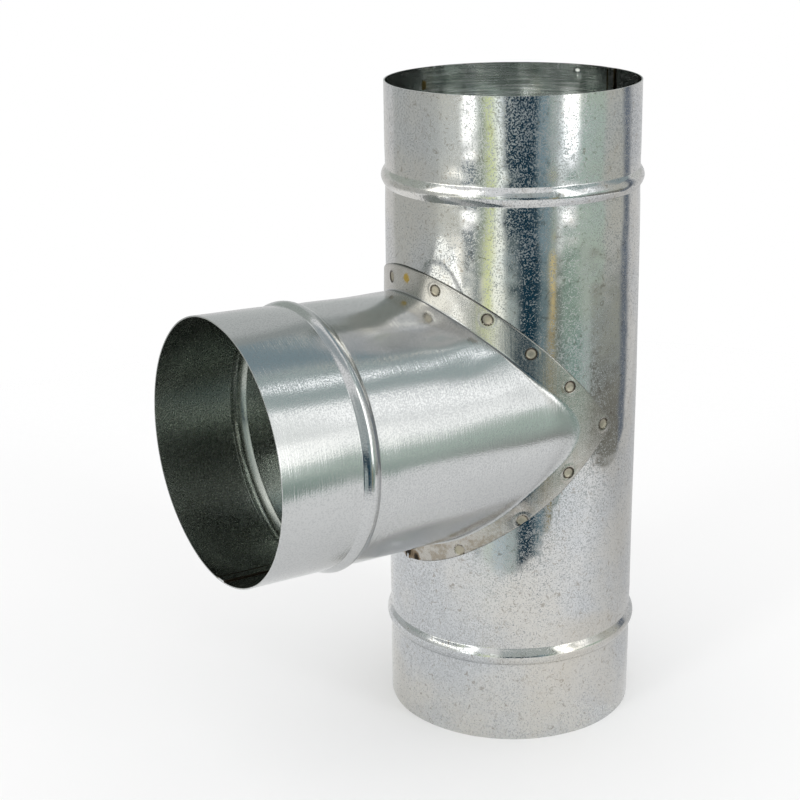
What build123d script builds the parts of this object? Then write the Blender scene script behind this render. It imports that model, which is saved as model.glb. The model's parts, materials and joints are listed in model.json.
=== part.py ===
from build123d import *
import os
from math import atan2, cos, degrees, radians, sin, sqrt, tan

# Galvanized duct tee: a straight run of rolled sheet with an equal branch spot welded to its side.
# The run stands along Z with the middle of its bottom rim at the origin, and the branch points along +X.

# Driving dimensions, in millimetres and degrees
DUCT_OD = 99.0  # outside of the run and of the branch, a push fit in 100 mm duct
SHEET = 0.5  # thickness of the galvanized sheet
SPIGOT_LENGTH = 36.0  # each rim to the middle of its stop bead
LOWER_WALL = 34.0  # middle of the bottom bead to the flange
UPPER_WALL = 32.0  # flange to the middle of the top bead
COLLAR_WALL = 48.0  # outside of the run to the middle of the branch bead
BEAD_WIDTH = 6.6
BEAD_CREST = 1.6  # flat top of a bead, between its sloping flanks
BEAD_HEIGHT = 1.4
FLANGE_WIDTH = 8.5  # fold to outer edge, measured square to the fold
FLANGE_TIP_RADIUS = 3.0
FOLD_RADIUS = 1.5  # inside of the bend between collar and flange
WELD_GAP = 0.05  # air left between the flange and the run
HOLE_LIP = 2.0  # how far the run's sheet reaches inside the branch bore
LAP_WIDTH = 5.0  # overlap of the sheet at each lengthwise seam
FLANGE_SLIT = 1.5  # gap between the flange's two ends at the collar's seam
WELD_DIAMETER = 4.0
WELD_DEPTH = 0.15
UPPER_WELD_ANGLES = (0, 20, 42, 61, 79)  # round the run from the branch, the same on both sides
LOWER_WELD_ANGLES = (6, 31, 58, 79)

# Sizes that follow from them
duct_radius = DUCT_OD / 2
bore_radius = duct_radius - SHEET
seat_radius = duct_radius + WELD_GAP
flange_radius = seat_radius + SHEET
branch_height = SPIGOT_LENGTH + LOWER_WALL + FLANGE_WIDTH + duct_radius
run_length = branch_height + duct_radius + FLANGE_WIDTH + UPPER_WALL + SPIGOT_LENGTH
branch_reach = duct_radius + COLLAR_WALL + SPIGOT_LENGTH
flank_angle = atan2(BEAD_HEIGHT, (BEAD_WIDTH - BEAD_CREST) / 2)
run_beads = (SPIGOT_LENGTH, run_length - SPIGOT_LENGTH)
branch_beads = (branch_reach - SPIGOT_LENGTH,)

# The branch is drawn along Z like the run, then laid along +X with its seam underneath
branch_place = Pos(0, 0, branch_height) * Rot(0, 90, 0) * Rot(0, 0, 180)
from_base = (Align.CENTER, Align.CENTER, Align.MIN)


def beaded_bar(inset, length, bead_places):
    """A round bar along Z with raised beads, drawn in from the sheet's outside by an inset.

    A bead is narrowed by the inset times the tangent of half its flank angle, so that two insets
    leave sheet of even thickness on the flanks too.
    """
    radius = duct_radius - inset
    crest_radius = radius + BEAD_HEIGHT
    half_foot = BEAD_WIDTH / 2 - inset * tan(flank_angle / 2)
    half_crest = BEAD_CREST / 2 - inset * tan(flank_angle / 2)
    outline = [(0, 0), (radius, 0)]
    for place in bead_places:
        outline += [(radius, place - half_foot), (crest_radius, place - half_crest)]
        outline += [(crest_radius, place + half_crest), (radius, place + half_foot)]
    outline += [(radius, length), (0, length)]
    return revolve(Plane.XZ * make_face(Polyline(outline, close=True)), Axis.Z)


def lap_strip(start, length, bead_places):
    """The second thickness of sheet inside the bore, on the -X side, where the rolled edges overlap."""
    overlap = Box(DUCT_OD, LAP_WIDTH, length - start, align=(Align.MAX, Align.CENTER, Align.MIN))
    return Pos(0, 0, start) * overlap - beaded_bar(2 * SHEET, length, bead_places)


def saddle_point(angle, offset):
    """A place on the flange as an angle round the run and a rise from the branch axis.

    Two equal tubes meet where the rise is the radius times the cosine of the angle. The offset is
    measured on the unrolled sheet, square to that curve.
    """
    slope = sin(radians(angle))
    stretch = sqrt(1 + slope**2)
    turn = angle + degrees(offset * slope / stretch / seat_radius)
    rise = seat_radius * cos(radians(angle)) + offset / stretch
    return turn, rise


def tip_turn(offset):
    """The angle round the run of a flange's tip, where its two slanting edges meet square."""
    return 90 + degrees(offset * sqrt(2) / seat_radius)


def flange_outline():
    """The flange seen along Y: two bowed edges that run from beyond the crown to a rounded tip."""
    tip = (seat_radius * cos(radians(tip_turn(FLANGE_WIDTH))), 0)
    turn, rise = saddle_point(45, FLANGE_WIDTH)
    middle = (seat_radius * cos(radians(turn)), rise)
    crown_rise = saddle_point(0, FLANGE_WIDTH)[1]
    crown_slope = seat_radius / crown_rise
    corner = (flange_radius + FLANGE_WIDTH, crown_rise + FLANGE_WIDTH * crown_slope)
    upper = ThreePointArc(tip, middle, corner)
    lower = mirror(upper, Plane.XZ)
    outline = make_face([upper, Line(upper @ 1, lower @ 1), lower])
    outline = fillet(outline.vertices().sort_by(Axis.X)[0], FLANGE_TIP_RADIUS)
    return Plane.XZ * Pos(0, branch_height) * outline


def weld_places():
    """Spot welds down the middle of the flange on both sides of the branch, with one at each tip."""
    middle = FLANGE_WIDTH / 2
    half = [(tip_turn(middle), 0)]
    for level, angles in ((1, UPPER_WELD_ANGLES), (-1, LOWER_WELD_ANGLES)):
        for angle in angles:
            turn, rise = saddle_point(angle, middle)
            half.append((turn, level * rise))
    return half + [(-turn, rise) for turn, rise in half if turn]


def weld_dent(turn, rise):
    """A sunken disc left by a spot welding electrode, square to the flange."""
    disc = Rot(0, 90, 0) * Cylinder(WELD_DIAMETER / 2, SHEET, align=from_base)
    return Pos(0, 0, branch_height + rise) * Rot(0, 0, turn) * Pos(flange_radius - WELD_DEPTH) * disc


def make_run_tube():
    """Rolled tube with two beads, a lap seam at the back and a round hole for the branch."""
    airway = beaded_bar(SHEET, run_length, run_beads) - lap_strip(0, run_length, run_beads)
    hole = Cylinder(bore_radius - HOLE_LIP, branch_reach, align=from_base)
    return beaded_bar(0, run_length, run_beads) - airway - branch_place * hole


def make_branch_collar():
    """Rolled tube with a bead, turned out at its saddle end into the flange that lies on the run."""
    seat = Cylinder(seat_radius, run_length, align=from_base)
    flange_band = extrude(flange_outline(), DUCT_OD, both=True)
    flange = Cylinder(flange_radius, run_length, align=from_base) & flange_band
    shell = branch_place * beaded_bar(0, branch_reach, branch_beads) + flange
    flange_face = shell.faces().filter_by(lambda face: face.inner_wires())[0]
    shell = fillet(flange_face.inner_wires()[0].edges(), FOLD_RADIUS)

    airway = branch_place * beaded_bar(SHEET, branch_reach, branch_beads) + seat
    rims = airway.edges().filter_by(GeomType.BSPLINE)
    airway = fillet(rims, FOLD_RADIUS + SHEET)
    strip_start = flange_radius + FOLD_RADIUS + SHEET
    collar = shell - (airway - branch_place * lap_strip(strip_start, branch_reach, branch_beads))

    slit_top = branch_height - duct_radius - FOLD_RADIUS - SHEET
    slit = Box(branch_reach, FLANGE_SLIT, slit_top, align=(Align.MIN, Align.CENTER, Align.MIN))
    return collar - slit - [weld_dent(turn, rise) for turn, rise in weld_places()]


pieces = {"run_tube": make_run_tube(), "branch_collar": make_branch_collar()}
os.makedirs("parts", exist_ok=True)
for name, piece in pieces.items():
    export_step(piece, f"parts/{name}.step")
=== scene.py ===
import json
import bmesh
import bpy
import numpy as np
from mathutils import Matrix, Vector


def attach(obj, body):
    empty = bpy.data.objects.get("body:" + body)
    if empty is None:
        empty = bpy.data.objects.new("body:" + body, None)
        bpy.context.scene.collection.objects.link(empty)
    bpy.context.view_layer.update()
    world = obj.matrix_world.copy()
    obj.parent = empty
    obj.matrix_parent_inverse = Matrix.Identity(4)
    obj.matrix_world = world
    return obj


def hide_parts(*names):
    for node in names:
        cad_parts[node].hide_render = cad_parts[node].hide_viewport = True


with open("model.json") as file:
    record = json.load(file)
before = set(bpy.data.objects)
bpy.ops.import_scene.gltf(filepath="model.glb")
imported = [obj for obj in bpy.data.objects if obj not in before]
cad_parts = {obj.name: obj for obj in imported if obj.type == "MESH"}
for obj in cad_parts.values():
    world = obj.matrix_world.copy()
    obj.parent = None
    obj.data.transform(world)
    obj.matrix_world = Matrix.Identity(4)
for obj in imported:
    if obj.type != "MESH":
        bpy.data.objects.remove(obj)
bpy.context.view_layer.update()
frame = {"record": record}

# Camera
# It stands in front of the branch and to its side, a little above the tee and two thirds of a metre
# off, with a very slight roll. It aims at a place to the left of the run's axis.
camera_turn, camera_tilt, camera_roll = np.radians((146.798, 18.293, -0.774))
aim_height, aim_left, camera_distance = 0.12634, 0.04473, 0.67243
flat = np.cos(camera_tilt)
back = np.array((np.sin(camera_turn) * flat, -np.cos(camera_turn) * flat, np.sin(camera_tilt)))
level = np.array((np.cos(camera_turn), np.sin(camera_turn), 0))
upright = np.cross(back, level)
right = np.cos(camera_roll) * level + np.sin(camera_roll) * upright
up = np.cos(camera_roll) * upright - np.sin(camera_roll) * level
camera_place = np.array((0, 0, aim_height)) - aim_left * level + camera_distance * back
camera = bpy.data.objects.new("camera", bpy.data.cameras.new("camera"))
camera.matrix_world = Matrix([*np.column_stack((right, up, back, camera_place)).tolist(), (0, 0, 0, 1)])
camera.data.lens = 75.26
bpy.context.collection.objects.link(camera)
bpy.context.scene.camera = camera
bpy.context.scene.view_settings.view_transform = "Standard"


# Stage
# A white table top in a white room, lit by two tall soft boxes beside the camera. The metal shows a
# dome of cards that stand for the room, and a grey sheet on the table that is painted shade, standing
# for the table being less lit to the right of the tee. Nothing else sees those.
class Shade:
    """A socket of a node tree. Arithmetic on it adds Math nodes, and node() adds any other node."""

    def __init__(self, socket):
        self.socket = socket
        self.tree = socket.id_data

    def node(self, kind, inputs, output=0, **settings):
        """A new node: its settings first, then a number or a link for each socket named."""
        made = self.tree.nodes.new("ShaderNode" + kind)
        for name, value in settings.items():
            setattr(made, name, value)
        for key, value in inputs.items():
            if isinstance(value, Shade):
                self.tree.links.new(value.socket, made.inputs[key])
            else:
                made.inputs[key].default_value = value
        return Shade(made.outputs[output])

    def math(self, operation, *values):
        return self.node("Math", dict(enumerate(values)), operation=operation)

    def __add__(self, other):
        return self.math("ADD", self, other)

    def __sub__(self, other):
        return self.math("SUBTRACT", self, other)

    def __rsub__(self, other):
        return self.math("SUBTRACT", other, self)

    def __mul__(self, other):
        return self.math("MULTIPLY", self, other)

    __radd__ = __add__
    __rmul__ = __mul__

    def step(self, low, high):
        """0 below low and 1 above high, eased in between; the other way round where low is higher."""
        return self.node("MapRange", {0: self, 1: low, 2: high}, interpolation_type="SMOOTHSTEP")

    def mix(self, first, second):
        """The first colour where this is 0 and the second where it is 1."""
        return self.node("Mix", {0: self, 6: first, 7: second}, 2, data_type="RGBA")

    def into(self, shader, socket):
        self.tree.links.new(self.socket, shader.inputs[socket])


def new_material(name):
    """A material, its Principled shader and its object coordinates."""
    material = bpy.data.materials.new(name)
    material.use_nodes = True
    nodes = material.node_tree.nodes
    return material, nodes["Principled BSDF"], Shade(nodes.new("ShaderNodeTexCoord").outputs["Object"])


def new_object(name, points, faces, material):
    """An object from rows of points, in metres, and rows of corner numbers."""
    mesh = bpy.data.meshes.new(name)
    mesh.from_pydata(points.tolist(), [], faces.tolist())
    mesh.materials.append(material)
    made = bpy.data.objects.new(name, mesh)
    bpy.context.collection.objects.link(made)
    return made


world = bpy.data.worlds.new("white room")
bpy.context.scene.world = world
world.use_nodes = True
world.node_tree.nodes["Background"].inputs["Color"].default_value = (1, 1, 1, 1)

# The table is whole round the tee and fades into the white room further out. Its corners are given
# towards the camera and to the camera's right. The lower run shows where its near edge is.
table_whole, table_gone = 0.34, 0.62
table_corners = ((0.134, -0.6), (0.254, 0.32), (-0.9, 0.32), (-0.9, -0.6))
paint, shader, coords = new_material("white table")
from_tee = coords.node("VectorMath", {0: coords}, "Value", operation="LENGTH")
from_tee.step(table_gone, table_whole).into(shader, "Alpha")
shader.inputs["Base Color"].default_value = (0.8, 0.8, 0.8, 1)
shader.inputs["Emission Color"].default_value = (1, 1, 1, 1)
shader.inputs["Emission Strength"].default_value = 0.14
shader.inputs["Roughness"].default_value = 0.9
shader.inputs["Specular IOR Level"].default_value = 0
near = np.array((back[0], back[1], 0)) / np.hypot(back[0], back[1])
corners = np.array([ahead * near + beside * level for ahead, beside in table_corners])
table = new_object("table", corners, np.arange(4)[None], paint)
table.visible_shadow = False

# Each card is a stretch of compass directions, from +X towards +Y, and of heights above the table,
# in degrees, with its brightness. Where two overlap, the later one is seen, and where there is none
# the room is white. The last two are the soft boxes as the metal shows them.
cards = (
    (-110, -78, -30, 12, (0.74, 0.74, 0.74)),
    (-78, -25, -30, 12, (0.56, 0.57, 0.555)),
    (-25, -14, -30, 12, (0.60, 0.61, 0.58)),
    (-14, 10, -30, 12, (0.74, 0.75, 0.70)),
    (-8, 9, -16.5, -12.2, (1.9, 1.85, 1.7)),
    (-24, 8, 12, 44, (2.8, 2.75, 2.55)),
    (9, 25, -13.2, -10, (0.22, 0.27, 0.30)),
    (9, 19, -30, -13.2, (1.3, 1.32, 1.25)),
    (19, 25, -30, -13.2, (0.28, 0.33, 0.35)),
    (21, 29, -13.5, 20, (0.44, 0.50, 0.44)),
    (29, 37, -21, 6, (0.92, 1.0, 0.56)),
    (29, 37, -30, -21, (0.75, 0.82, 0.75)),
    (43.5, 76, -30, -3, (0.01, 0.045, 0.075)),
    (46.5, 57, -14.3, -12.5, (0.20, 0.25, 0.25)),
    (46.5, 57, -30, -14.3, (0.50, 0.58, 0.57)),
    (36.5, 43.5, -11, 20, (1.35, 1.4, 1.35)),
    (36.5, 46.5, -19, -11, (1.35, 1.4, 1.3)),
    (36.5, 46.5, -30, -19, (0.60, 0.69, 0.72)),
    (45, 91, -3, 40, (0.50, 0.55, 0.55)),
    (76, 87, -13, 6, (0.27, 0.37, 0.41)),
    (76, 87, -30, -13, (0.19, 0.27, 0.30)),
    (87, 91, -30, -15, (0.55, 0.43, 0.22)),
    (87, 91, -15, -12, (1.1, 0.85, 0.36)),
    (87, 91, -12, 6, (0.46, 0.54, 0.46)),
    (91, 99, -11, 40, (0.50, 0.56, 0.55)),
    (91, 99, -13.3, -11, (0.34, 0.40, 0.38)),
    (91, 99, -30, -13.3, (0.22, 0.27, 0.25)),
    (94, 100, -12, -7.5, (1.15, 1.2, 1.18)),
    (99, 120, -13.3, -11, (0.36, 0.48, 0.42)),
    (99, 120, -30, -13.3, (0.30, 0.41, 0.36)),
    (112, 142, -13, 3, (0.54, 0.65, 0.58)),
    (120, 169, -17, -13, (0.37, 0.39, 0.355)),
    (120, 169, -30, -17, (0.22, 0.22, 0.20)),
    (112, 121, 14, 41, (0.95, 0.98, 0.96)),
    (112, 120.5, -2, 14, (1.6, 1.6, 1.55)),
    (120.5, 129, 3, 20, (1.5, 1.51, 1.50)),
    (121, 132, 20, 38, (1.75, 1.75, 1.74)),
    (118, 127, -19, -12.5, (0.50, 0.58, 0.53)),
    (129, 142, 3, 20, (0.85, 0.87, 0.86)),
    (132, 142, 20, 38, (0.80, 0.84, 0.84)),
    (142, 169, -13, 39, (0.60, 0.61, 0.58)),
    (169, 181, -30, 20, (0.17, 0.20, 0.25)),
    (181, 250, -30, 3, (0.72, 0.72, 0.72)),
    (100, 156, 37, 62, (0.47, 0.56, 0.55)),
    (136, 146, 47.5, 51.5, (2.3, 2.3, 2.33)),
    (156, 185, 20, 75, (0.34, 0.41, 0.44)),
    (185, 203, 3, 75, (0.74, 0.75, 0.73)),
    (203, 216, 3, 75, (0.55, 0.57, 0.55)),
    (216, 228, 3, 75, (0.40, 0.43, 0.42)),
    (228, 300, 3, 60, (0.64, 0.66, 0.65)),
    (197, 207, 50, 54.5, (1.2, 1.14, 1.0)),
    (-110, -30, 12, 60, (0.47, 0.51, 0.48)),
    (158, 216, 55, 75, (0.28, 0.37, 0.41)),
    (157, 167, 53, 55.3, (0.95, 0.92, 0.80)),
    (-60, 100, 62, 90, (0.45, 0.50, 0.52)),
    (9.5, 20.5, -8, 48.7, (3.4, 3.4, 3.3)),
    (98.5, 110.5, -8.4, 49.3, (3.6, 3.6, 3.5)),
)
paint, shader, coords = new_material("cards")
glow = coords.node("Attribute", {}, "Color", attribute_name="brightness")
glow = glow.node("Emission", {"Color": glow})
glow.into(paint.node_tree.nodes["Material Output"], "Surface")

# The dome has a point for each degree of compass and each half degree of height. Its brightness is
# blurred in passes, in which a point keeps half its own and takes a quarter of each neighbour's.
dome_radius, dome_middle = 3.0, 0.17
compass_passes, height_passes = 8, 2
compass, height = np.meshgrid(np.arange(360), np.arange(-30, 90.5, 0.5))
brightness = np.ones((*compass.shape, 4))
for start, end, low, high, colour in cards:
    aside = np.abs((compass - (start + end) / 2 + 180) % 360 - 180)
    covered = (aside <= (end - start) / 2) & (low <= height) & (height <= high)
    brightness[covered, :3] = colour
for axis, passes in ((1, compass_passes), (0, height_passes)):
    for _ in range(passes):
        neighbours = np.roll(brightness, 1, axis) + np.roll(brightness, -1, axis)
        brightness = brightness / 2 + neighbours / 4
rows, columns = compass.shape
compass, height = np.radians(compass), np.radians(height)
flat = np.cos(height)
dome = np.stack((flat * np.cos(compass), flat * np.sin(compass), np.sin(height)), -1).reshape(-1, 3)
first = np.arange((rows - 1) * columns).reshape(rows - 1, columns)
after = np.roll(first, -1, 1)
dome_faces = np.stack((first, after, after + columns, first + columns), -1).reshape(-1, 4)

# The grey sheet is painted shade: it lies to the right of the tee and gets darker away from the camera,
# standing for the table as less lit there
shade_sheet_ahead = np.array((0.11, 0.055, 0, -0.06, -0.9))
shade_sheet_tone = np.array((0.97, 0.86, 0.74, 0.65, 0.58))
shade_sheet_sides = np.array((0.045, 0.33))
shade_sheet_rise = 0.001
ahead, beside = np.meshgrid(shade_sheet_ahead, shade_sheet_sides)
shade_sheet = ahead.reshape(-1, 1) * near + beside.reshape(-1, 1) * level + (0, 0, shade_sheet_rise)
shade_sheet_faces = rows * columns + np.arange(4)[:, None] + (0, 1, 6, 5)
points = np.concatenate((dome_radius * dome + (0, 0, dome_middle), shade_sheet))
room = new_object("cards", points, np.concatenate((dome_faces, shade_sheet_faces)), paint)
tones = np.concatenate((brightness.reshape(-1, 4), np.tile(shade_sheet_tone[:, None], (2, 4))))
room.data.attributes.new("brightness", "FLOAT_COLOR", "POINT").data.foreach_set("color", tones.ravel())
room.visible_camera = room.visible_diffuse = room.visible_shadow = False

# Each soft box has its compass direction and height, how wide and tall it looks from the tee, and its
# brightness. A lamp of brightness 1 has pi watts to the square metre.
box_distance = 2.4
soft_boxes = ((14.8, 20.4, 10, 56.7, 2.5), (104.5, 20.4, 11, 57.7, 2.6))
for box_compass, box_height, wide, tall, strength in soft_boxes:
    turn, tilt = np.radians((box_compass, box_height))
    facing = Vector((np.cos(turn) * np.cos(tilt), np.sin(turn) * np.cos(tilt), np.sin(tilt)))
    lamp = bpy.data.lights.new("soft box", "AREA")
    lamp.shape = "RECTANGLE"
    lamp.size, lamp.size_y = (2 * box_distance * np.tan(np.radians((wide, tall)) / 2)).tolist()
    lamp.energy = strength * np.pi * lamp.size * lamp.size_y
    box = bpy.data.objects.new("soft box", lamp)
    box_place = Matrix.Translation(box_distance * facing + Vector((0, 0, dome_middle)))
    box.matrix_world = box_place @ facing.to_track_quat("Z", "Y").to_matrix().to_4x4()
    box.visible_camera = box.visible_glossy = False
    bpy.context.collection.objects.link(box)

# Run tube
# One blank of thin galvanized sheet, rolled and seam welded along a lap inside the back. A stop bead
# is rolled in near each end, and a round hole is cut in the side for the branch. Sizes in millimetres.
mounts = {mount["name"]: mount for mount in frame["record"]["mounts"]}
radius = mounts["run_top_spigot"]["dims"]["r_mm"]
run_length = 1000 * mounts["run_top_spigot"]["pos_m"][2]
branch_height = 1000 * mounts["branch_spigot"]["pos_m"][2]
sheet = 0.5
lap = 5.0
lap_ramp = 0.12  # degrees round the tube in which the lap's step rises
hole = 47.0  # radius of the hole for the branch
bead_place = 36.0  # rim to the middle of its bead
bead_rise, bead_half = 1.5, 3.6
pinch_depth, pinch_place, pinch_half = 0.15, 4.5, 4.2  # the wall draws in beside a bead
press_turn, press_depth, press_start, press_span = 2.5, 1.1, 140.22, 114  # the top is pressed in here
end_span = 60.0  # length at each end where rows of points are square to the tube
spot_turn, spot_drop, spot_rise = np.radians(201.4), 3.5, 0.3  # a weld spot inside the top rim
stain_turn, stain_drop = np.radians(280), 7.0  # a brown stain inside the top rim


def bead(distance):
    """Height of a stop bead by the distance from its middle: a low arch, with the wall pinched beside."""
    arch = bead_rise * np.maximum(1 - (distance / bead_half) ** 2, 0) ** 1.15
    return arch - pinch_depth * np.exp(-(((np.abs(distance) - pinch_place) / pinch_half) ** 2))


def close_rows(place):
    """Places across a bead, close together at its feet."""
    return place + (bead_half + 0.1) * np.sin(np.radians(np.linspace(-90, 90, 21)))


def hump(value, width):
    """A bell of height 1 at zero, with the given half width."""
    return np.exp(-((value / width) ** 2))


def sheet_piece(name, patches, material):
    """One closed shell from patches of points in millimetres, each with its marks.

    A patch is a grid of points and a grid of values for each mark. Neighbouring cells make a face,
    and the points that fall together are joined, so patches that share an edge close up.
    """
    points, faces, start = [], [], 0
    for grid, marks in patches:
        rows, columns = grid.shape[:2]
        first = (np.arange(rows - 1)[:, None] * columns + np.arange(columns - 1)).reshape(-1, 1) + start
        faces.append(first + (0, 1, columns + 1, columns))
        points.append(grid.reshape(-1, 3))
        start += rows * columns
    made = new_object(name, np.concatenate(points) / 1000, np.concatenate(faces), material)
    mesh = made.data
    for mark in patches[0][1]:
        values = [np.broadcast_to(marks[mark], grid.shape[:2]).ravel() for grid, marks in patches]
        mesh.attributes.new(mark, "FLOAT", "POINT").data.foreach_set("value", np.concatenate(values))
    work = bmesh.new()
    work.from_mesh(mesh)
    bmesh.ops.remove_doubles(work, verts=work.verts, dist=2e-6)
    bmesh.ops.recalc_face_normals(work, faces=work.faces)
    work.to_mesh(mesh)
    work.free()
    mesh.shade_smooth()
    mesh.set_sharp_from_angle(angle=np.radians(50))
    return made


# Columns follow the hole's edge, then the rest of the way round, closer at the lap and the weld spot
hole_reach = np.arcsin(hole / radius)
over_hole = np.arcsin(hole / radius * np.sin(np.radians(np.linspace(-90, 90, 97))))
lap_edge = lap / 2 / radius
rest = np.concatenate((
    np.linspace(hole_reach, 2 * np.pi - hole_reach, 190)[1:-1],
    np.pi + np.outer((-1, 1), lap_edge + np.radians((-lap_ramp, 0, lap_ramp))).ravel(),
    spot_turn + np.radians(np.linspace(-3, 3, 16)),
))
angle = np.concatenate((over_hole, np.sort(rest), over_hole[:1] + 2 * np.pi))
gap = np.sqrt(np.maximum(hole**2 - (radius * np.sin(angle)) ** 2, 0)) * (np.cos(angle) > 0)
gap[np.abs(np.sin(angle)) > np.sin(hole_reach) - 1e-9] = 0
lapped = np.clip((lap_edge - np.abs(angle - np.pi)) / np.radians(lap_ramp) + 0.5, 0, 1)


def tube_points(height, inset):
    """The rolled wall: the radius less an inset, with beads, faint waves and a slightly pressed top."""
    wave = 0.05 * np.cos(7 * angle + height / 19) + 0.04 * np.cos(11 * angle - height / 13 + 1)
    pressed = press_depth * np.clip((height - press_start) / press_span, 0, 1)
    pressed = pressed * np.maximum(np.cos(angle - press_turn), 0) ** 2
    beads = bead(height - bead_place) + bead(height - run_length + bead_place)
    out = radius - inset + beads + wave - pressed
    return np.stack((out * np.cos(angle), out * np.sin(angle), height), -1)


# Rows are square to the tube at its ends and bend round the hole towards the middle
end_rows = np.unique(np.concatenate((
    np.linspace(0, 6, 9), np.linspace(6, 32, 14), close_rows(bead_place), np.linspace(40, end_span, 11),
)))
end_rows = end_rows[:, None] + 0 * angle
blend = np.linspace(0, 1, 17)[1:, None]
low_rows = end_span + (branch_height - gap - end_span) * blend
high_rows = run_length - end_span + (branch_height + gap - run_length + end_span) * blend
low_height = np.concatenate((end_rows, low_rows))
high_height = np.concatenate((run_length - end_rows, high_rows))
thickness = sheet + sheet * lapped
patches = []
for height in (low_height, high_height):
    outer, inner = tube_points(height, 0), tube_points(height, thickness)
    spot = hump(radius * (angle - spot_turn), 1.3) * hump(height - run_length + spot_drop, 1.1)
    inner[..., :2] *= 1 - spot_rise / radius * spot[..., None]
    seam = hump(radius * (np.abs(angle - np.pi) - lap_edge), 0.45) + 0 * height
    stain = 0.8 * hump(radius * (angle - stain_turn), 1.4) * hump(height - run_length + stain_drop, 2.0)
    patches.append((outer, {"burn": 0, "inside": 0}))
    patches.append((inner, {"burn": np.maximum(seam, stain), "inside": 1}))
    patches.append((np.stack((outer[0], inner[0])), {"burn": 0, "inside": 0}))
    edge = np.stack((outer[-1], inner[-1]))[:, : over_hole.size]
    patches.append((edge, {"burn": 0, "inside": 1}))

# Zinc with dark flecks and strokes, warm and cool clouds and a few stains. The inside is streaked round
# the tube, and the seam and a stain at the rim are burnt brown and black.
zinc, shader, coords = new_material("skin passed zinc")
fleck = coords.node("TexNoise", {"Vector": coords, "Scale": 1750, "Detail": 2, "Roughness": 0.6})
ripple = coords.node("TexNoise", {"Vector": coords, "Scale": 110, "Detail": 1})
stroke = {"Vector": coords, "Scale": 430, "Detail": 3, "Roughness": 0.7, "Distortion": 1.2}
stroke = coords.node("TexNoise", stroke)
streak = coords.node("VectorMath", {0: coords, 1: (70, 70, 1800)}, operation="MULTIPLY")
streak = coords.node("TexNoise", {"Vector": streak, "Scale": 1, "Detail": 2})
cloud = coords.node("TexNoise", {"Vector": coords, "Scale": 26, "Detail": 3})
stain = coords.node("TexNoise", {"Vector": coords, "Scale": 17, "Detail": 4, "Distortion": 0.6})
burn = coords.node("Attribute", {}, "Fac", attribute_name="burn")
inside = coords.node("Attribute", {}, "Fac", attribute_name="inside")
dark = (fleck + 0.3 * (cloud - 0.5) + 0.35 * (stroke - 0.5)).step(0.52, 0.36) * (1 - 0.8 * inside)
streaked = (0.6 * streak + 0.4 * cloud).step(0.42, 0.60).mix((0.63, 0.68, 0.65, 1), (1, 1, 1, 1))
tone = cloud.step(0.35, 0.65).mix((0.60, 0.62, 0.64, 1), (0.63, 0.62, 0.59, 1))
tone = (0.75 * dark).mix(tone, (0.38, 0.39, 0.40, 1))
tone = (0.7 * stroke.step(0.56, 0.69)).mix(tone, (0.28, 0.26, 0.23, 1))
tone = (stain.step(0.55, 0.75) * 0.35).mix(tone, (0.58, 0.52, 0.42, 1))
tone = inside.mix(tone, streaked)
tone = burn.step(0.2, 0.45).mix(tone, (0.40, 0.28, 0.09, 1))
tone = burn.step(0.6, 0.9).mix(tone, (0.06, 0.04, 0.025, 1))
tone.into(shader, "Base Color")
(0.055 + 0.35 * dark + 0.03 * cloud + 0.03 * inside).into(shader, "Roughness")
bumps = coords.node("Bump", {"Height": ripple, "Distance": 0.00012, "Strength": 1.0})
bumps.into(shader, "Normal")
shader.inputs["Metallic"].default_value = 1
run = sheet_piece("run", patches, zinc)
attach(run, "root")
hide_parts("run_tube")

# Branch collar
# A second rolled tube with a stop bead, cut to the saddle curve, turned out into a flange that lies on
# the run and spot welded to it all round. The flange is slit underneath, where the collar's lap is.
reach = 1000 * mounts["branch_spigot"]["pos_m"][0]
seat = radius + sheet + 0.05  # outside of the flange
flange_middle = 127.8
lean = np.tan(np.radians(1.62))
slit = 0.8  # half the gap between the flange's two ends
edge_round, edge_band = 0.28, 0.45  # the flange's outer edge is rounded over this band
# Spot welds by their angle round the run and their height, those at the side on both sides
top_welds = ((-12.7, 181.9), (18.5, 181.8))
side_welds = (
    (42.5, 172.9), (61, 160), (78.4, 146), (96.7, 128.5), (78.5, 111.9), (57.9, 94.2), (30.2, 80.1),
)
welds = (*top_welds, *side_welds, *((-turn, height) for turn, height in side_welds))
burnt_weld = (0.8, 183.9)
# Shallow dents by their place along the branch and round it, with their length, width and depth
dents = (
    (64, 66, 9, 3.5, 0.3), (55, 52, 8, 3, 0.25), (72, 56, 12, 4, 0.2), (82, 72, 10, 4, 0.25),
    (112, 62, 14, 3.5, 0.12),
)
# The flange's width and its fall towards the run, by the slope up or down the side of the branch
width_slopes = (-90, -70, -55, -45, -30, -20, 0, 5, 15, 28, 90)
widths = (8, 6.6, 6, 6.2, 7.2, 7.9, 8.1, 8.5, 9.4, 10.1, 10.2)
fall_slopes = (-90, -60, -30, -12, 12, 30, 90)
falls = (0.3, 0.7, 0.8, 0.3, 0.2, 0.4, 0.3)
# How dark the painted shade in the bend's crease is, and how much darker the flange is made, by the same
# slope
bend_shade_slopes, bend_shades = (-90, -20, 0, 20, 35), (0.35, 0.3, 0.1, 0.5, 0.9)
darkening_slopes, darkening_amounts = (-90, -50, -30, 0, 40, 90), (0.9, 0.8, 0.4, 0.25, 0.12, 0.15)
# How far the branch's top is drawn up into an oval, by the place along it
oval_places, ovals = (70, 92, 103, 133), (0, 0.55, 1.25, 1.5)

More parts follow.
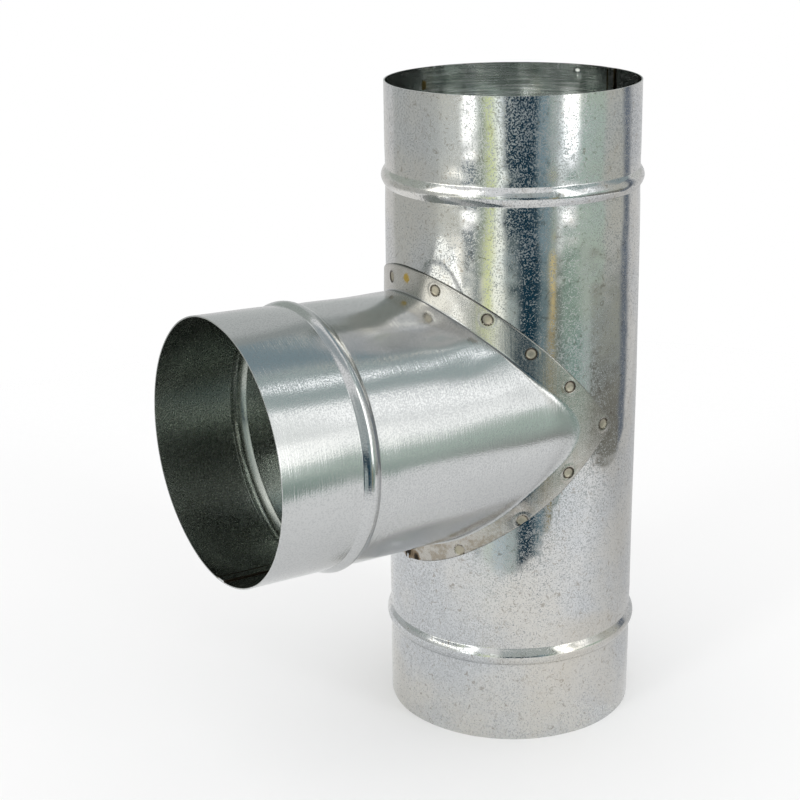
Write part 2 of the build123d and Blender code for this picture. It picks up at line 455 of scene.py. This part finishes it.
# Columns run round the branch from underneath, over the side that faces +Y and the top
lap_edge = np.degrees(lap / 2 / radius)
lap_steps = [middle + np.array((-lap_ramp, 0, lap_ramp)) for middle in (-90 + lap_edge, 270 - lap_edge)]
turns = np.unique(np.concatenate((np.linspace(-90, 270, 541), *lap_steps)))
from_seam = np.minimum(turns + 90, 270 - turns)
around = np.radians(turns)
side, rise = np.sign(np.cos(around)), np.sin(around)
slope = np.degrees(np.arcsin(np.clip(rise, -1, 1)))
width = np.interp(slope, width_slopes, widths)
fall = np.interp(slope, fall_slopes, falls)
lapped = np.clip((lap_edge - from_seam) / lap_ramp + 0.5, 0, 1)

# The flange's outer edge keeps its width square to the fold, as far as the side, then runs straight to
# a rounded tip where the upper and the lower edge meet
steep = np.abs(slope)
tip_steep, tip_spread = 21, 28  # columns below this slope are spread over these degrees to the tip
to_tip = 90 - tip_steep + (tip_steep - steep) * tip_spread / tip_steep
base = np.where(steep > tip_steep, 90 - steep, to_tip)
past = np.clip(base - 90, 0, tip_spread - tip_steep) / (tip_spread - tip_steep)
base = np.radians(np.minimum(base, 90))
stretch = np.sqrt(1 + np.sin(base) ** 2)
edge_along = seat * base + width * np.sin(base) / stretch + width / np.sqrt(2) * past
edge_rise = seat * np.cos(base) + width / stretch - width / np.sqrt(2) * past
edge_along -= np.sqrt(edge_rise**2 + 1) - edge_rise
edge_angle = side * edge_along / seat
edge_height = flange_middle + np.sign(rise) * edge_rise


def collar_points(inset, extra):
    """The collar's wall, its bend and its flange, as one grid drawn in by an inset, with its marks.

    The wall follows the branch tube to the saddle, where the two tubes meet. The bend is a curve of
    second degree from the wall to the flange about that corner. The flange is spread between the
    corner and the outer edge on the run's unrolled surface. The extra thins the bore at the lap.
    """
    r, on_run = radius - inset, seat - inset
    out, across = r * np.cos(around), r * np.sin(around)
    saddle = np.sqrt((on_run + fall) ** 2 - out**2)
    bend = 0.9 + 3 * hump(slope, 17)
    wall_end = saddle + 0.9 + 9 * hump(slope, 17)

    # The wall, with its bead, oval mouth, waves and dents, raised by the lean
    ahead = (np.linspace(0, 6, 5), np.linspace(6, 32, 6), close_rows(bead_place), np.linspace(40, 50, 4))
    along = reach - np.unique(np.concatenate(ahead))[:, None] + 0 * around
    blend = np.linspace(0, 1, 17)[1:, None]
    along = np.concatenate((along, along[-1] + (wall_end - along[-1]) * blend))
    upper = np.maximum(np.sin(around), 0)
    oval = np.interp(along, oval_places, ovals) * upper**2
    wave = (0.02 + 0.13 * hump(along - saddle, 25)) * np.cos(13 * around - along / 9)
    wave = wave + (0.01 + 0.05 * hump(along - saddle, 22)) * np.cos(23 * around + along / 4)
    wave = 0.06 * np.cos(7 * around + along / 11) + wave * (0.25 + 0.75 * upper)
    for x, turn, long, wide, depth in dents:
        wave = wave - depth * hump(along - x, long) * hump(r * (around - np.radians(turn)), wide)
    swell = (r - extra + bead(along - reach + bead_place) + oval + wave) / r
    lifted = lean * 0.5 * (along - radius + np.hypot(along - radius, 8))
    wall = np.stack((along, out * swell, branch_height + across * swell + lifted), -1)

    # The flange by its angle and height on the run, opened at the slit
    corner_angle = np.arcsin(out / (on_run + fall))
    corner_lift = lean * 4 * hump(saddle - radius, 9)
    corner = np.stack((saddle, out, branch_height + across + corner_lift), -1)
    length = np.hypot(seat * (edge_angle - corner_angle), edge_height - branch_height - across)
    from_edge = np.array((edge_band, 0.34, 0.22, 0.12, 0.04, 0))[:, None]
    spread = bend / length + (1 - bend / length) * np.linspace(0, 0.88, 23)[:, None]
    spread = np.concatenate((spread, 1 - from_edge / length))
    in_band = np.clip(edge_band - (1 - spread) * length, 0, edge_band)
    rounded = edge_round - np.sqrt(edge_round**2 - (edge_round / edge_band * in_band) ** 2)
    angle = corner_angle + (edge_angle - corner_angle) * spread
    height = branch_height + across + (edge_height - branch_height - across) * spread
    under = rise < 0
    opened = np.where(under, slit / seat * np.clip(2 * spread, 0, 1), 0)
    facing = np.where(turns < 90, 1, -1)
    angle = np.where(under & (steep > 60), facing * np.sqrt(angle**2 + opened**2), angle)

    # Each weld is pressed in with a ring round it, and the flange stands off the run between welds
    far = [np.hypot(seat * (angle - np.radians(a)), height - z) for a, z in (*welds, burnt_weld)]
    weld, burnt = np.min(far[:-1], 0), far[-1]
    press = -0.28 * np.clip((2.0 - weld) / 0.5, 0, 1) + 0.14 * hump(weld - 2.5, 0.6)
    lift = 0.12 + (fall * (1 - spread) + 0.12 * spread) * (1 - 0.7 * hump(weld, 4))
    lift = lift + 0.8 * spread * hump(seat * angle, 2) * under
    at = on_run + lift + (press - rounded if inset == 0 else 0)
    flange = np.stack((at * np.cos(angle), at * np.sin(angle), height), -1)

    t = np.linspace(0, 1, 11)[1:-1, None, None]
    turned = (1 - t) ** 2 * wall[-1] + 2 * t * (1 - t) * corner + t**2 * flange[0]
    grid = np.concatenate((wall, turned, flange))
    plain = len(wall) + len(turned)

    def marked(elsewhere, on_flange):
        """A mark with one value on the wall and the bend, and its own on the flange."""
        return np.concatenate((np.full((plain, around.size), elsewhere), on_flange))

    rust = 1.2 * hump(seat * angle, 2.8) * hump(height - 73, 3.2)
    rust = rust + 1.4 * hump(seat * angle - 5.2, 1.5) * hump(height - 71, 2.4)
    # Painted shade: a dark line along the middle of the bend, strongest on the upper side, and a painted
    # shadow line along the flange's outer edge
    bend_shade = hump(t[..., 0] - 0.45, 0.3) * np.interp(slope, bend_shade_slopes, bend_shades)
    edge_shadow = 0.85 * hump((1 - spread) * length, 0.35)
    marks = {
        "weld": marked(9.0, weld),
        "brass": marked(9.0, burnt),
        "flange": marked(0.0, np.ones_like(weld)),
        "burn": marked(0.0, rust),
        # painted shade of the bend and painted shadow line at the flange's edge
        "painted_shade": np.concatenate((0 * wall[..., 0], bend_shade, edge_shadow)),
        "flange_darkening": marked(0.0, np.interp(slope, darkening_slopes, darkening_amounts) + 0 * weld),
        "inside": np.full(grid.shape[:2], 1.0 if inset else 0.0),
    }
    if inset:
        marks["burn"][:plain] = hump(radius * np.radians(from_seam - lap_edge), 0.5)
    return grid, marks, plain


outer, marks, plain = collar_points(0, 0)
inner, inner_marks, _ = collar_points(sheet, sheet * lapped)


def strip(rows, columns):
    """The cut edge of the sheet, between the outside and the inside."""
    ends = [np.atleast_2d(grid[rows, columns].reshape(-1, 3)) for grid in (outer, inner)]
    pairs = {name: np.stack([values[rows, columns].ravel()] * 2) for name, values in marks.items()}
    return np.stack(ends), pairs


whole, on_flange, one, last = slice(None), slice(plain, None), slice(0, 1), slice(-1, None)
patches = [(outer, marks), (inner, inner_marks), strip(one, whole), strip(last, whole)]
patches += [strip(on_flange, one), strip(on_flange, last)]

# Brighter zinc with fine lines round the branch. The flange is yellowed, and darker and blotchier towards
# underneath, its welds are ringed with black, one weld is brassy and the ends at the slit are burnt.
# Painted shade darkens the bend's crease, and a painted shadow line runs along the flange's outer edge.
zinc, shader, coords = new_material("bright zinc")
hair = coords.node("VectorMath", {0: coords, 1: (1500, 50, 50)}, operation="MULTIPLY")
hair = coords.node("TexNoise", {"Vector": hair, "Scale": 1, "Detail": 2})
fleck = coords.node("TexNoise", {"Vector": coords, "Scale": 1700, "Detail": 2, "Distortion": 0.3})
cloud = coords.node("TexNoise", {"Vector": coords, "Scale": 30, "Detail": 3})
blotch = coords.node("TexNoise", {"Vector": coords, "Scale": 240, "Detail": 3, "Roughness": 0.65})
weld, brass, flange, inside, burn, painted_shade, flange_darkening = (
    coords.node("Attribute", {}, "Fac", attribute_name=mark)
    for mark in ("weld", "brass", "flange", "inside", "burn", "painted_shade", "flange_darkening")
)
dark = (fleck + 0.25 * (cloud - 0.5)).step(0.54, 0.40)
ring = weld.step(2.7, 2.2) - weld.step(2.0, 1.5)
disc = weld.step(2.4, 1.8)
tone = dark.mix((0.56, 0.57, 0.57, 1), (0.49, 0.50, 0.505, 1))
tone = (flange * (0.1 + 0.5 * cloud)).mix(tone, (0.52, 0.48, 0.41, 1))
# The flange is made darker and blotchy towards underneath, by the slope round the branch
tone = (0.45 * flange_darkening + flange_darkening * blotch.step(0.42, 0.66)).mix(tone, (0.33, 0.30, 0.25, 1))
# Painted shade in the bend's crease and a painted shadow line at the flange's outer edge
tone = (painted_shade * (0.6 + 0.8 * cloud)).mix(tone, (0.10, 0.10, 0.095, 1))
tone = disc.mix(tone, (0.40, 0.37, 0.30, 1))
tone = (ring * (fleck + cloud).step(0.75, 1.05)).mix(tone, (0.05, 0.04, 0.03, 1))
tone = (brass + 2.4 * (fleck - 0.5)).step(2.3, 1.2).mix(tone, (0.52, 0.36, 0.08, 1))
tone = inside.mix(tone, (0.41, 0.435, 0.40, 1))
tone = (burn + 0.8 * (fleck - 0.5)).step(0.15, 0.4).mix(tone, (0.20, 0.15, 0.10, 1))
tone = (burn + 1.2 * (fleck - 0.5)).step(0.5, 0.85).mix(tone, (0.03, 0.022, 0.015, 1))
tone.into(shader, "Base Color")
rough = 0.09 + 0.10 * dark + 0.06 * cloud + 0.07 * flange + 0.08 * inside + 0.2 * disc + 0.3 * burn
rough.into(shader, "Roughness")
bumps = coords.node("Bump", {"Height": 0.8 * fleck + 1.2 * hair, "Distance": 0.000025, "Strength": 1.0})
bumps.into(shader, "Normal")
shader.inputs["Metallic"].default_value = 1
collar = sheet_piece("collar", patches, zinc)
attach(collar, "root")
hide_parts("branch_collar")
